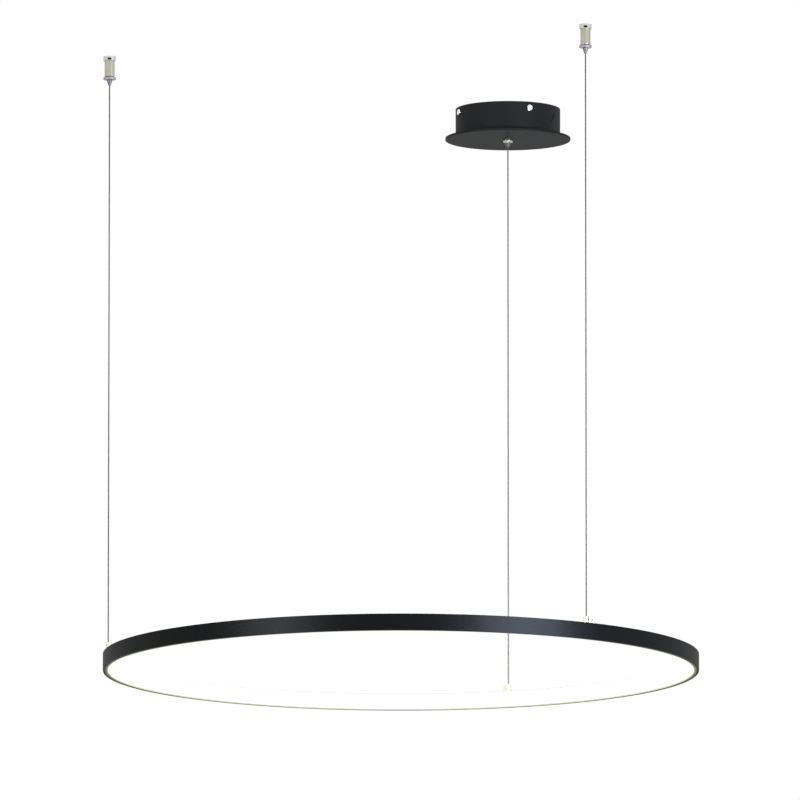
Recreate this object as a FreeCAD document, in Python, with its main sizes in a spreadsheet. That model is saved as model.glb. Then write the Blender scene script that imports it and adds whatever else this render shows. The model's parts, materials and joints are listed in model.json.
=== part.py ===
"""Suspended LED ring chandelier: a round canopy, two ceiling anchors, three cables and a slim ring.

Millimetres, +Z up.  The origin lies in the ceiling plane, at the centre of the canopy bracket's
top face and on the axis of the feed cable.  The ring hangs in front of the canopy (towards -Y).
Every size is a named cell of the sheet called Sizes, and every sub-part reads its sizes from there.
"""
import math
import os
import re

import FreeCAD
import Part
import Sketcher

doc = FreeCAD.newDocument("RingChandelier")

SIZES = {
    # ring
    "ring_diameter": 800.0,
    "ring_height": 22.0,
    "ring_depth": 12.0,
    "ring_drop": 826.0,
    "lip_depth": 7.3,
    "channel_wall": 1.5,
    "leg_reach": 0.8,
    "seam_gap": 0.4,
    "seam_angle": 8.0,
    "diffuser_wall": 1.2,
    "diffuser_gap": 0.15,
    "strip_height": 12.0,
    "strip_thick": 0.6,
    "strip_gap": 0.1,
    "strip_open_angle": 1.2,
    "strip_start_angle": 4.0,
    "chip_count": 36.0,
    "chip_width": 5.0,
    "chip_height": 3.6,
    "chip_thick": 0.9,
    # stations of the three cables
    "feed_turn": 21.7,
    "station_step": 120.0,
    # cables
    "cable_diameter": 1.8,
    "cable_clear": 0.3,
    "thread_clear": 0.05,
    # ring fittings
    "boss_diameter": 7.6,
    "boss_height": 8.5,
    "stop_flats": 4.0,
    "stop_height": 3.2,
    "stop_lift": 0.7,
    "stop_clear": 0.05,
    "lug_offset": 7.4,
    "lug_length": 6.2,
    "lug_depth": 6.4,
    "lug_height": 7.4,
    "tbolt_stud": 3.0,
    "tbolt_reach": 5.5,
    "tbolt_head_length": 9.0,
    "tbolt_head_height": 2.0,
    "slide_clear": 0.3,
    # splice bars at the ring's seam
    "splice_angle": 6.0,
    "splice_thick": 1.2,
    # cable grips
    "grip_length": 21.0,
    "grip_diameter": 13.6,
    "grip_bore": 9.0,
    "grip_stroke": 1.2,
    "taper_start": 4.7,
    "taper_length": 6.0,
    "shank_wall": 1.25,
    "release_socket": 2.2,
    "plug_height": 1.8,
    "jaw_start": 5.6,
    "jaw_height": 4.4,
    "jaw_clear": 0.05,
    "jaw_split": 0.7,
    "spring_wire": 0.6,
    "spring_diameter": 6.6,
    "spring_turns": 4.0,
    "spring_steps": 10.0,
    "release_diameter": 16.9,
    "release_height": 3.2,
    "release_cone": 7.6,
    "release_cone_diameter": 7.8,
    "release_tip_diameter": 3.6,
    # ceiling anchors
    "collar_diameter": 16.9,
    "collar_height": 6.2,
    "anchor_stud_diameter": 5.0,
    "spigot_length": 3.5,
    "window_width": 5.4,
    "window_height": 2.7,
    "window_drop": 4.0,
    "window_depth": 9.0,
    "tail_length": 1.0,
    # canopy
    "drum_diameter": 143.2,
    "drum_height": 40.0,
    "drum_wall": 1.2,
    "rim_gap": 0.5,
    "disc_diameter": 171.4,
    "disc_thick": 3.0,
    "stem_diameter": 11.8,
    "stem_clear": 0.2,
    "flange_height": 2.4,
    "nut_flats": 19.0,
    "nut_height": 4.0,
    "feed_release_diameter": 8.8,
    "feed_release_height": 1.6,
    "feed_release_cone": 4.2,
    # canopy bracket and side screws
    "side_screw_turn": 23.6,
    "side_screw_count": 4.0,
    "side_screw_drop": 9.0,
    "side_screw_diameter": 3.2,
    "side_head_diameter": 8.0,
    "side_head_height": 3.0,
    "bracket_thick": 2.0,
    "bracket_width": 14.0,
    "bracket_clear": 0.9,
    "tab_thick": 1.5,
    "tab_height": 15.0,
    "supply_hole_diameter": 16.0,
    "ceiling_hole_diameter": 5.0,
    "ceiling_hole_circle": 80.0,
    "ceiling_hole_count": 2.0,
    # slot in the drum's wall
    "slot_turn": 59.2,
    "slot_length": 14.5,
    "slot_width": 1.4,
    "slot_lean": 33.0,
    "slot_drop": 17.0,
    # driver and wiring inside the canopy
    "driver_length": 88.0,
    "driver_width": 36.0,
    "driver_height": 16.0,
    "driver_near": 15.0,
    "driver_wall": 1.6,
    "driver_lid": 1.6,
    "block_length": 24.0,
    "block_width": 16.0,
    "block_height": 13.0,
    "block_far": 40.0,
    "block_near": 6.0,
    # feed cable's lower end and connector inside the ring
    "feed_end_depth": 2.6,
    "connector_length": 8.0,
    "connector_depth": 2.4,
    "connector_foot": 8.0,
    "connector_angle": 3.4,
}
# derived cells: each is written once and used by every piece that meets there
FORMULAS = {
    "ring_radius": "ring_diameter / 2",
    "attach_radius": "ring_radius - (channel_wall + lip_depth - leg_reach) / 2",
    "slot_inner": "ring_radius - lip_depth + leg_reach",
    "slot_outer": "ring_radius - channel_wall",
    "cable_radius": "cable_diameter / 2",
    "guide_radius": "cable_radius + cable_clear",
    "shank_radius": "guide_radius + shank_wall",
    "throat_radius": "shank_radius + slide_clear",
    "bore_radius": "grip_bore / 2",
    "taper_angle": "atan((bore_radius - throat_radius) / taper_length)",
    "jaw_low_radius": "throat_radius + (jaw_start - taper_start) * tan(taper_angle) - jaw_clear / cos(taper_angle)",
    "jaw_high_radius": "jaw_low_radius + jaw_height * tan(taper_angle)",
    "fit_radius": "bore_radius - thread_clear",
    "spring_foot": "jaw_start + jaw_height",
    "spring_seat": "grip_length - spigot_length",
    "piston_radius": "bore_radius - slide_clear",
    "anchor_grip_drop": "collar_height + grip_length",
    "canopy_drop": "drum_height + disc_thick",
    "feed_grip_drop": "canopy_drop + flange_height",
    "drum_floor": "drum_height - drum_wall",
    "driver_top": "drum_floor - driver_height - driver_lid",
    "ring_top_drop": "ring_drop - ring_height",
    "drum_radius": "drum_diameter / 2",
    "tab_radius": "drum_radius - drum_wall - bracket_clear",
}
NAMES = set(SIZES) | set(FORMULAS)
WORD = re.compile(r"[a-z_]+")

sheet = doc.addObject("Spreadsheet::Sheet", "Sizes")


def bound(text):
    """Expression with every size name pointed at the sheet."""
    return WORD.sub(lambda word: "Sizes." + word.group() if word.group() in NAMES else word.group(), str(text))


def fill_sheet():
    for row, (name, value) in enumerate(SIZES.items(), start=1):
        sheet.set(f"A{row}", name)
        sheet.set(f"B{row}", str(value))
        sheet.setAlias(f"B{row}", name)
    for row, (name, formula) in enumerate(FORMULAS.items(), start=len(SIZES) + 1):
        sheet.set(f"A{row}", name)
        sheet.set(f"B{row}", "=" + formula)
        sheet.setAlias(f"B{row}", name)
    doc.recompute()


fill_sheet()


def number(text):
    """Value of an expression, for a sketch's first layout."""
    value = sheet.evalExpression(bound(text))
    return float(getattr(value, "Value", value))


def bind(thing, **properties):
    for path, text in properties.items():
        thing.setExpression(path.replace("__", "."), bound(text))


def locate(thing, x=0, y=0, z=0):
    """Placement offsets read from the sheet; a zero offset stays unbound."""
    for axis, text in zip("xyz", (x, y, z)):
        if text != 0:
            thing.setExpression(f"Placement.Base.{axis}", bound(text))


def origin_part(body, role):
    return next(item for item in body.Origin.OriginFeatures if item.Role == role)


def new_body(name):
    body = doc.addObject("PartDesign::Body", name)
    body.Label = name
    return body


def new_sketch(body, name, plane, lift=0):
    sketch = body.newObject("Sketcher::SketchObject", name)
    sketch.AttachmentSupport = (origin_part(body, plane), [""])
    sketch.MapMode = "FlatFace"
    if lift != 0:
        sketch.setExpression("AttachmentOffset.Base.z", bound(lift))
    return sketch


def hold(sketch, kind, geometry, point, text):
    """Signed distance of one point from the sketch's origin, bound to an expression."""
    row = sketch.addConstraint(Sketcher.Constraint(kind, -1, 1, geometry, point, number(text)))
    sketch.setExpression(f"Constraints[{row}]", bound(text))


def outline_sketch(body, name, plane, corners, lift=0):
    """Closed outline of straight sides, each corner held by its two coordinates."""
    sketch = new_sketch(body, name, plane, lift)
    spots = [FreeCAD.Vector(number(x), number(y), 0) for x, y in corners]
    for start, end in zip(spots, spots[1:] + spots[:1]):
        sketch.addGeometry(Part.LineSegment(start, end), False)
    count = len(corners)
    for side in range(count):
        sketch.addConstraint(Sketcher.Constraint("Coincident", side, 2, (side + 1) % count, 1))
    for side, (x, y) in enumerate(corners):
        hold(sketch, "DistanceX", side, 1, x)
        hold(sketch, "DistanceY", side, 1, y)
    return sketch


def circle_sketch(body, name, plane, x, y, radius, lift=0):
    sketch = new_sketch(body, name, plane, lift)
    centre = FreeCAD.Vector(number(x), number(y), 0)
    sketch.addGeometry(Part.Circle(centre, FreeCAD.Vector(0, 0, 1), number(radius)), False)
    hold(sketch, "DistanceX", 0, 3, x)
    hold(sketch, "DistanceY", 0, 3, y)
    row = sketch.addConstraint(Sketcher.Constraint("Radius", 0, number(radius)))
    sketch.setExpression(f"Constraints[{row}]", bound(radius))
    return sketch


def turn(body, name, sketch, angle=360):
    """Revolution about the body's vertical axis."""
    feature = body.newObject("PartDesign::Revolution", name)
    feature.Profile = sketch
    feature.ReferenceAxis = (origin_part(body, "Z_Axis"), [""])
    feature.setExpression("Angle", bound(angle))
    return feature


def turned(name, corners, angle=360):
    """Sub-part turned from an outline of (radius, height) corners."""
    body = new_body(name)
    turn(body, name + "_turn", outline_sketch(body, name + "_outline", "XZ_Plane", corners), angle)
    return body


def block(body, name, kind, length, width, height, x=0, y=0, z=0):
    """Box centred on x and y, standing on z."""
    feature = body.newObject(f"PartDesign::{kind}Box", name)
    bind(feature, Length=length, Width=width, Height=height)
    locate(feature, f"({x}) - ({length}) / 2", f"({y}) - ({width}) / 2", z)
    return feature


def rod(body, name, kind, radius, height, x=0, y=0, z=0, tilt=None):
    """Cylinder from (x, y, z) upwards, or along the direction of tilt."""
    feature = body.newObject(f"PartDesign::{kind}Cylinder", name)
    bind(feature, Radius=radius, Height=height)
    if tilt is not None:
        feature.Placement = FreeCAD.Placement(FreeCAD.Vector(), tilt)
    locate(feature, x, y, z)
    return feature


def ring_of(body, name, feature, count, angle=360):
    """Copies of a feature round the body's vertical axis."""
    pattern = body.newObject("PartDesign::PolarPattern", name)
    pattern.Originals = [feature]
    pattern.Axis = (origin_part(body, "Z_Axis"), [""])
    pattern.Mode = "Extent"
    bind(pattern, Angle=angle, Occurrences=count)
    body.Tip = pattern
    return pattern


ALONG_X = FreeCAD.Rotation(FreeCAD.Vector(0, 1, 0), 90)

# cable stations: the feed cable is on the canopy's axis, the others one step either way round the ring
STATIONS = {"anchor_1": "-station_step", "anchor_2": "station_step", "feed": "0"}


def station_spot(offset):
    x = f"attach_radius * (sin(feed_turn + ({offset})) - sin(feed_turn))"
    y = f"attach_radius * (cos(feed_turn + ({offset})) - cos(feed_turn))"
    return x, y


def place_at_ring(body, z, extra="0"):
    """Ring frame: centre of the ring, local +X towards the feed station."""
    body.Placement.Rotation = FreeCAD.Rotation(FreeCAD.Vector(0, 0, 1), 0)
    locate(body, "-attach_radius * sin(feed_turn)", "-attach_radius * cos(feed_turn)", z)
    body.setExpression("Placement.Rotation.Angle", bound(f"90 - feed_turn + ({extra})"))


def place_at_station(body, offset, z):
    """Station frame: on a cable's axis, local +X outwards from the ring's centre."""
    body.Placement.Rotation = FreeCAD.Rotation(FreeCAD.Vector(0, 0, 1), 0)
    x, y = station_spot(offset)
    if offset == "0":
        x = y = 0
    locate(body, x, y, z)
    body.setExpression("Placement.Rotation.Angle", bound(f"90 - feed_turn - ({offset})"))


def place_upright(body, offset, z):
    x, y = (0, 0) if offset == "0" else station_spot(offset)
    locate(body, x, y, z)


# ---------------------------------------------------------------- ring

def seam_cut(body, name):
    """Narrow radial cut through the ring's section, where the rolled ends meet."""
    reach = "(ring_radius - ring_depth * 2)"
    cut = body.newObject("PartDesign::SubtractiveBox", name)
    bind(cut, Length="ring_depth * 4", Width="seam_gap", Height="ring_height * 2")
    cut.Placement.Rotation = FreeCAD.Rotation(FreeCAD.Vector(0, 0, 1), 0)
    locate(cut, f"{reach} * cos(seam_angle) + seam_gap / 2 * sin(seam_angle)",
           f"{reach} * sin(seam_angle) - seam_gap / 2 * cos(seam_angle)", "-ring_height / 2")
    cut.setExpression("Placement.Rotation.Angle", bound("seam_angle"))


def ring_channel():
    """Rolled aluminium channel, open to the ring's centre."""
    lip = "ring_radius - lip_depth"
    body = turned("ring_channel", [
        ("ring_radius", "0"), ("ring_radius", "ring_height"), (lip, "ring_height"),
        (lip, "ring_height - channel_wall"), ("slot_outer", "ring_height - channel_wall"),
        ("slot_outer", "channel_wall"), (lip, "channel_wall"), (lip, "0"),
    ])
    below_lip = "ring_height - channel_wall * 2"
    hole = block(body, "tbolt_hole", "Subtractive", "tbolt_stud + slide_clear * 2", "tbolt_stud + slide_clear * 2",
                 "channel_wall * 3", "attach_radius", "lug_offset", below_lip)
    ring_of(body, "tbolt_holes", hole, 3)
    rod(body, "feed_hole", "Subtractive", "guide_radius + cable_clear", "channel_wall * 3",
        "attach_radius", 0, below_lip)
    seam_cut(body, "channel_seam")
    place_at_ring(body, "-ring_drop")


def ring_diffuser():
    """Opal cover whose two legs press in between the channel's flanges."""
    face = "ring_radius - ring_depth"
    inner = f"{face} + diffuser_wall"
    tip = "slot_inner - diffuser_gap"
    low = "channel_wall + diffuser_gap"
    body = turned("ring_diffuser", [
        (face, low), (tip, low), (tip, f"{low} + diffuser_wall"), (inner, f"{low} + diffuser_wall"),
        (inner, f"ring_height - ({low} + diffuser_wall)"), (tip, f"ring_height - ({low} + diffuser_wall)"),
        (tip, f"ring_height - ({low})"), (face, f"ring_height - ({low})"),
    ])
    seam_cut(body, "diffuser_seam")
    place_at_ring(body, "-ring_drop")


def led_strip():
    """Flexible board stuck to the inside of the channel's wall."""
    outer = "slot_outer - strip_gap"
    inner = f"{outer} - strip_thick"
    low = "(ring_height - strip_height) / 2"
    high = "(ring_height + strip_height) / 2"
    turned("led_strip", [(inner, low), (outer, low), (outer, high), (inner, high)], "360 - strip_open_angle")
    place_at_ring(doc.led_strip, "-ring_drop", "-strip_start_angle + strip_open_angle")


def led_chips():
    body = new_body("led_chips")
    face = "slot_outer - strip_gap - strip_thick"
    sag = "chip_width * chip_width / (8 * ring_radius)"
    chip = block(body, "chip", "Additive", "chip_thick", "chip_width", "chip_height",
                 f"{face} - {sag} - chip_thick / 2", 0, "(ring_height - chip_height) / 2")
    ring_of(body, "chips", chip, "chip_count", "360 - strip_open_angle - 360 / chip_count")
    place_at_ring(body, "-ring_drop", "-strip_start_angle + strip_open_angle + 180 / chip_count")


def splice_bars():
    """Two curved bars that lie inside the channel's flanges and bridge the seam."""
    inner = "slot_inner + slide_clear"
    outer = "slot_outer - slide_clear"
    body = new_body("splice_bars")
    for level, z in (("low", "channel_wall"), ("high", "ring_height - channel_wall - splice_thick")):
        top = f"{z} + splice_thick"
        sketch = outline_sketch(body, f"bar_{level}_outline", "XZ_Plane",
                                [(inner, z), (outer, z), (outer, top), (inner, top)])
        turn(body, f"bar_{level}_turn", sketch, "splice_angle")
    place_at_ring(body, "-ring_drop", "seam_angle - splice_angle / 2")


def strip_connector():
    """Housing at the strip's end, next to the feed cable's lower end."""
    body = new_body("strip_connector")
    block(body, "connector_body", "Additive", "connector_depth", "connector_length",
          "ring_height - connector_foot - channel_wall - slide_clear",
          "slot_outer - connector_depth / 2 - slide_clear", 0, "connector_foot")
    place_at_ring(body, "-ring_drop", "-connector_angle")


# ---------------------------------------------------------------- ring fittings

def ring_fitting(station, offset):
    """Slotted boss that holds the cable's crimped end, with a lug that a T-bolt in the channel carries."""
    name = f"fitting_{station}"
    body = new_body(f"{name}_body")
    rod(body, f"{name}_boss", "Additive", "boss_diameter / 2", "boss_height")
    block(body, f"{name}_lug", "Additive", "lug_depth", "lug_offset + lug_length / 2 - boss_diameter / 4",
          "lug_height", 0, "(lug_offset + lug_length / 2 + boss_diameter / 4) / 2", 0)
    keyhole(body, f"{name}_slot", "guide_radius", "boss_height")
    keyhole(body, f"{name}_pocket", "stop_flats / 2 / cos(30) + slide_clear", "stop_lift + stop_height + stop_clear")
    block(body, f"{name}_socket", "Subtractive", "tbolt_stud + thread_clear * 2", "tbolt_stud + thread_clear * 2",
          "tbolt_reach + slide_clear", 0, "lug_offset", 0)
    place_at_station(body, offset, "-ring_top_drop")

    body = new_body(f"{name}_tbolt")
    block(body, f"{name}_tee", "Additive", "slot_outer - slot_inner - slide_clear * 2", "tbolt_head_length",
          "tbolt_head_height", 0, "lug_offset", "-(channel_wall + tbolt_head_height)")
    block(body, f"{name}_stud", "Additive", "tbolt_stud", "tbolt_stud", "channel_wall + tbolt_reach",
          0, "lug_offset", "-channel_wall")
    place_at_station(body, offset, "-ring_top_drop")

    body = new_body(f"{name}_stop")
    pad = body.newObject("PartDesign::Pad", f"{name}_crimp")
    pad.Profile = outline_sketch(body, f"{name}_hexagon", "XY_Plane", hexagon("stop_flats"), "stop_lift")
    bind(pad, Length="stop_height")
    if station == "feed":
        rod(body, f"{name}_bore", "Subtractive", "cable_radius + stop_clear", "boss_height")
    place_at_station(body, offset, "-ring_top_drop")


def keyhole(body, name, half, height):
    """Cut from the boss's axis out through its front, which the cable and its stop are slid into."""
    block(body, name, "Subtractive", f"boss_diameter + {half}", f"({half}) * 2", height,
          f"(boss_diameter - {half}) / 2", 0, 0)


def hexagon(flats):
    """Corners of a hexagon of a given width over its flats."""
    return [(f"{flats} / 2 / cos(30) * cos({60 * step})", f"{flats} / 2 / cos(30) * sin({60 * step})")
            for step in range(6)]


# ---------------------------------------------------------------- cable grips

def release_nipple(diameter, height, cone, top):
    """Outline of a nipple: flange to press, cone round the cable, and above it what the corners of top add."""
    face = f"-(grip_stroke + {height})"
    return [
        ("guide_radius", f"{face} - {cone}"), ("release_tip_diameter / 2", f"{face} - {cone}"),
        ("release_cone_diameter / 2", face), (f"{diameter} / 2", face), (f"{diameter} / 2", "-grip_stroke"),
    ] + top


def anchor_grip(station, offset):
    """Cable grip of an anchor: the nipple's piston lifts the spring, whose upper end seats on the base's spigot."""
    name = f"grip_{station}"
    place = "-anchor_grip_drop"
    outer = "grip_diameter / 2"
    barrel = [("bore_radius", "0"), (outer, "0"), (outer, "grip_length"), ("bore_radius", "grip_length")]
    place_upright(turned(f"{name}_barrel", barrel), offset, place)
    release = release_nipple("release_diameter", "release_height", "release_cone", [
        ("piston_radius", "-grip_stroke"), ("piston_radius", "spring_foot"), ("guide_radius", "spring_foot"),
    ])
    place_upright(turned(f"{name}_release", release), offset, place)
    grip_spring(f"{name}_spring", offset, place)


def feed_grip():
    """Self-locking grip: a spring drives a slit collet down a taper and on to the cable; the nipple lifts it."""
    place = "-feed_grip_drop"
    socket = "-(grip_stroke + release_socket)"
    flange = "grip_diameter / 2"
    stem = "stem_diameter / 2"
    place_upright(turned("grip_feed_barrel", [
        ("throat_radius", "0"), (flange, "0"), (flange, "flange_height"), (stem, "flange_height"),
        (stem, "grip_length"), ("bore_radius", "grip_length"),
        ("bore_radius", "taper_start + taper_length"), ("throat_radius", "taper_start"),
    ]), "0", place)
    release = release_nipple("feed_release_diameter", "feed_release_height", "feed_release_cone", [
        ("shank_radius + thread_clear", "-grip_stroke"), ("shank_radius + thread_clear", socket),
        ("guide_radius", socket),
    ])
    place_upright(turned("grip_feed_release", release), "0", place)
    jaw = "cable_radius + jaw_clear"
    collet = turned("grip_feed_collet", [
        (jaw, socket), ("shank_radius", socket),
        ("shank_radius", "jaw_start - (jaw_low_radius - shank_radius) / tan(taper_angle)"),
        ("jaw_high_radius", "spring_foot"), (jaw, "spring_foot"),
    ])
    split = block(collet, "collet_slit", "Subtractive", "grip_bore", "jaw_split", "grip_length", "bore_radius", 0, 0)
    ring_of(collet, "collet_slits", split, 3)
    place_upright(collet, "0", place)
    grip_spring("grip_feed_spring", "0", place)


def grip_plug():
    """Screwed plug that closes the feed grip's barrel above its spring."""
    body = turned("grip_feed_plug", [
        ("guide_radius", "spring_seat"), ("fit_radius", "spring_seat"),
        ("fit_radius", "spring_seat + plug_height"), ("guide_radius", "spring_seat + plug_height"),
    ])
    place_upright(body, "0", "-feed_grip_drop")


def grip_spring(name, offset, place):
    """Compression spring of square wire, one unbroken coil between the jaws and the seat above them."""
    half = number("spring_wire / 2")
    radius = number("spring_diameter / 2")
    low = number("spring_foot") + half
    rise = number("spring_seat") - half - low
    turns = number("spring_turns")
    steps = round(turns * number("spring_steps"))
    sections = []
    for step in range(steps + 1):
        angle = 2 * math.pi * turns * step / steps
        outward = FreeCAD.Vector(math.cos(angle), math.sin(angle), 0)
        middle = outward * radius + FreeCAD.Vector(0, 0, low + rise * step / steps)
        corners = [middle + outward * x * half + FreeCAD.Vector(0, 0, z * half)
                   for x, z in ((1, 1), (-1, 1), (-1, -1), (1, -1))]
        sections.append(Part.makePolygon(corners + corners[:1]))
    coil = doc.addObject("Part::Feature", name)
    coil.Shape = Part.makeLoft(sections, True, True)
    coil.Label = name
    place_upright(coil, offset, place)
    print(name, "least gap between turns", round(rise / turns - half * 2, 2), "mm")


def anchor_base(station, offset):
    """Collar on the ceiling's stud; the barrel threads on to its spigot, and spare cable leaves by the window."""
    foot = "-(collar_height + spigot_length)"
    stud = "anchor_stud_diameter / 2"
    body = turned(f"{station}_base", [
        (stud, "0"), ("collar_diameter / 2", "0"), ("collar_diameter / 2", "-collar_height"),
        ("fit_radius", "-collar_height"), ("fit_radius", foot), (stud, foot),
    ])
    sketch = new_sketch(body, f"{station}_window", "XZ_Plane")
    reach = "(window_width - window_height) / 2"
    half = "window_height / 2"
    ends = [FreeCAD.Vector(side * number(reach), -number("window_drop"), 0) for side in (-1, 1)]
    rise = FreeCAD.Vector(0, number(half), 0)
    up = FreeCAD.Vector(0, 0, 1)
    sketch.addGeometry(Part.ArcOfCircle(Part.Circle(ends[0], up, number(half)), math.pi / 2, 3 * math.pi / 2), False)
    sketch.addGeometry(Part.LineSegment(ends[0] - rise, ends[1] - rise), False)
    sketch.addGeometry(Part.ArcOfCircle(Part.Circle(ends[1], up, number(half)), -math.pi / 2, math.pi / 2), False)
    sketch.addGeometry(Part.LineSegment(ends[1] + rise, ends[0] + rise), False)
    for first, second in ((0, 1), (1, 2), (2, 3), (3, 0)):
        sketch.addConstraint(Sketcher.Constraint("Tangent", first, 2, second, 1))
    row = sketch.addConstraint(Sketcher.Constraint("Radius", 0, number(half)))
    sketch.setExpression(f"Constraints[{row}]", bound(half))
    hold(sketch, "DistanceX", 0, 3, f"-{reach}")
    hold(sketch, "DistanceY", 0, 3, "-window_drop")
    hold(sketch, "DistanceX", 2, 3, reach)
    pocket = body.newObject("PartDesign::Pocket", f"{station}_window_cut")
    pocket.Profile = sketch
    pocket.Reversed = True
    bind(pocket, Length="window_depth")
    place_upright(body, offset, 0)


# ---------------------------------------------------------------- cables

def cable(name, offset, top, bottom):
    body = new_body(name)
    rod(body, f"{name}_line", "Additive", "cable_radius", f"({bottom}) - ({top})")
    place_upright(body, offset, f"-({bottom})")


# ---------------------------------------------------------------- canopy

def canopy_drum():
    """Drawn cup with an open top, four screw holes and a leaning slot."""
    body = turned("canopy_drum", [
        ("stem_diameter / 2 + stem_clear", "-drum_height"), ("drum_radius", "-drum_height"),
        ("drum_radius", "-rim_gap"), ("drum_radius - drum_wall", "-rim_gap"),
        ("drum_radius - drum_wall", "-drum_floor"), ("stem_diameter / 2 + stem_clear", "-drum_floor"),
    ])
    hole = rod(body, "side_hole", "Subtractive", "side_screw_diameter / 2 + thread_clear",
               "drum_wall * 4", "drum_radius - drum_wall * 2", 0, "-side_screw_drop", ALONG_X)
    ring_of(body, "side_holes", hole, "side_screw_count")
    turn_back = "slot_turn - side_screw_turn"
    slot = body.newObject("PartDesign::SubtractiveBox", "wall_slot")
    bind(slot, Length="slot_width", Width="slot_length", Height="drum_wall * 4")
    angle = math.radians(number(turn_back))
    outward = FreeCAD.Vector(math.cos(angle), math.sin(angle), 0)
    lean = FreeCAD.Rotation(outward, -number("slot_lean"))
    across = FreeCAD.Vector(-math.sin(angle), math.cos(angle), 0)
    face = FreeCAD.Rotation(across, FreeCAD.Vector(0, 0, 1), outward, "ZXY")
    turned_face = lean.multiply(face)
    corner = turned_face.multVec(FreeCAD.Vector(number("slot_width") / 2, number("slot_length") / 2, 0))
    middle = outward * (number("drum_radius") - number("drum_wall") * 2) - FreeCAD.Vector(0, 0, number("slot_drop"))
    slot.Placement = FreeCAD.Placement(middle - corner, turned_face)
    place_at_canopy(body)


def place_at_canopy(body, extra="0"):
    """Canopy frame: local +X towards the first side screw."""
    body.Placement.Rotation = FreeCAD.Rotation(FreeCAD.Vector(0, 0, 1), 0)
    body.setExpression("Placement.Rotation.Angle", bound(f"side_screw_turn - 90 + ({extra})"))


def canopy_disc():
    """Flat plate under the drum, wider than the drum."""
    bore = "stem_diameter / 2 + stem_clear"
    turned("canopy_disc", [
        (bore, "-canopy_drop"), ("disc_diameter / 2", "-canopy_drop"), ("disc_diameter / 2", "-drum_height"),
        (bore, "-drum_height"),
    ])


def ceiling_bracket():
    """Flat cross with four bent tabs that the side screws press on."""
    body = new_body("ceiling_bracket")
    block(body, "arm_long", "Additive", "tab_radius * 2", "bracket_width", "bracket_thick", 0, 0, "-bracket_thick")
    block(body, "arm_cross", "Additive", "bracket_width", "tab_radius * 2", "bracket_thick", 0, 0, "-bracket_thick")
    tab = block(body, "tab", "Additive", "tab_thick", "bracket_width", "tab_height",
                "tab_radius - tab_thick / 2", 0, "-tab_height")
    ring_of(body, "tabs", tab, "side_screw_count")
    hole = rod(body, "ceiling_hole", "Subtractive", "ceiling_hole_diameter / 2", "bracket_thick * 3",
               "ceiling_hole_circle / 2", 0, "-bracket_thick * 2")
    ring_of(body, "ceiling_holes", hole, "ceiling_hole_count")
    rod(body, "supply_hole", "Subtractive", "supply_hole_diameter / 2", "bracket_thick * 3", 0, 0, "-bracket_thick * 2")
    place_at_canopy(body)


def side_screws():
    """Chrome screws threaded through the drum's wall, each with its end against a bracket tab."""
    body = new_body("side_screws")
    shank = rod(body, "screw_shank", "Additive", "side_screw_diameter / 2",
                "drum_wall + bracket_clear + side_head_height / 2", "tab_radius", 0, "-side_screw_drop", ALONG_X)
    head = rod(body, "screw_head", "Additive", "side_head_diameter / 2", "side_head_height",
               "drum_radius", 0, "-side_screw_drop", ALONG_X)
    pattern = ring_of(body, "screws_round", shank, "side_screw_count")
    pattern.Originals = [shank, head]
    place_at_canopy(body)


def canopy_nut():
    """Hex nut on the feed grip's stem, clamping drum and disc against the grip's flange."""
    body = new_body("canopy_nut")
    pad = body.newObject("PartDesign::Pad", "nut_pad")
    pad.Profile = outline_sketch(body, "nut_outline", "XY_Plane", hexagon("nut_flats"), "-drum_floor")
    bind(pad, Length="nut_height")
    rod(body, "nut_bore", "Subtractive", "stem_diameter / 2 + thread_clear", "drum_height", 0, 0, "-drum_height")


def driver():
    """Driver box beside the stem: open case and its lid."""
    middle = "driver_near + driver_width / 2"
    body = new_body("driver_case")
    block(body, "case_outer", "Additive", "driver_length", "driver_width", "driver_height", 0, middle, "-drum_floor")
    block(body, "case_inner", "Subtractive", "driver_length - driver_wall * 2", "driver_width - driver_wall * 2",
          "driver_height", 0, middle, "-drum_floor + driver_wall")
    body = new_body("driver_lid")
    block(body, "lid_plate", "Additive", "driver_length", "driver_width", "driver_lid", 0, middle,
          "-driver_top - driver_lid")


def terminal_block():
    """Block for the mains cable, on the drum's floor."""
    body = new_body("terminal_block")
    block(body, "block_outer", "Additive", "block_width", "block_length", "block_height",
          "-(block_far - block_width / 2)", "-(block_near + block_length / 2)", "-drum_floor")


# ---------------------------------------------------------------- assembly

ring_channel()
ring_diffuser()
led_strip()
led_chips()
splice_bars()
strip_connector()
canopy_drum()
canopy_disc()
ceiling_bracket()
side_screws()
canopy_nut()
driver()
terminal_block()
feed_grip()
grip_plug()
cable("feed_cable", "0", "feed_grip_drop - grip_length - tail_length", "ring_top_drop + feed_end_depth")
for station in ("anchor_1", "anchor_2"):
    anchor_base(station, STATIONS[station])
    anchor_grip(station, STATIONS[station])
    cable(f"{station}_cable", STATIONS[station], "collar_height + spigot_length + tail_length",
          "ring_top_drop - stop_lift - stop_height")
for station, offset in STATIONS.items():
    ring_fitting(station, offset)

doc.recompute()


def write_parts():
    os.makedirs("parts", exist_ok=True)
    nodes = [item for item in doc.Objects if item.TypeId in ("PartDesign::Body", "Part::Feature")]
    nodes = [item for item in nodes if item.getParentGroup() is None and item.Label == item.Name]
    for item in doc.Objects:
        if {"Invalid", "Error"} & set(item.State):
            raise RuntimeError(f"{item.Name}: {item.State}")
    for item in nodes:
        if item.Shape.isNull() or not item.Shape.isValid() or not item.Shape.Solids:
            raise RuntimeError(f"{item.Name}: shape is not a valid solid")
    for item in nodes:
        item.Shape.exportStep(f"parts/{item.Name}.step")
    print(len(nodes), "sub-parts written")


write_parts()
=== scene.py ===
import json
import math

import bmesh
import bpy
from mathutils import Matrix, Vector


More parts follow.
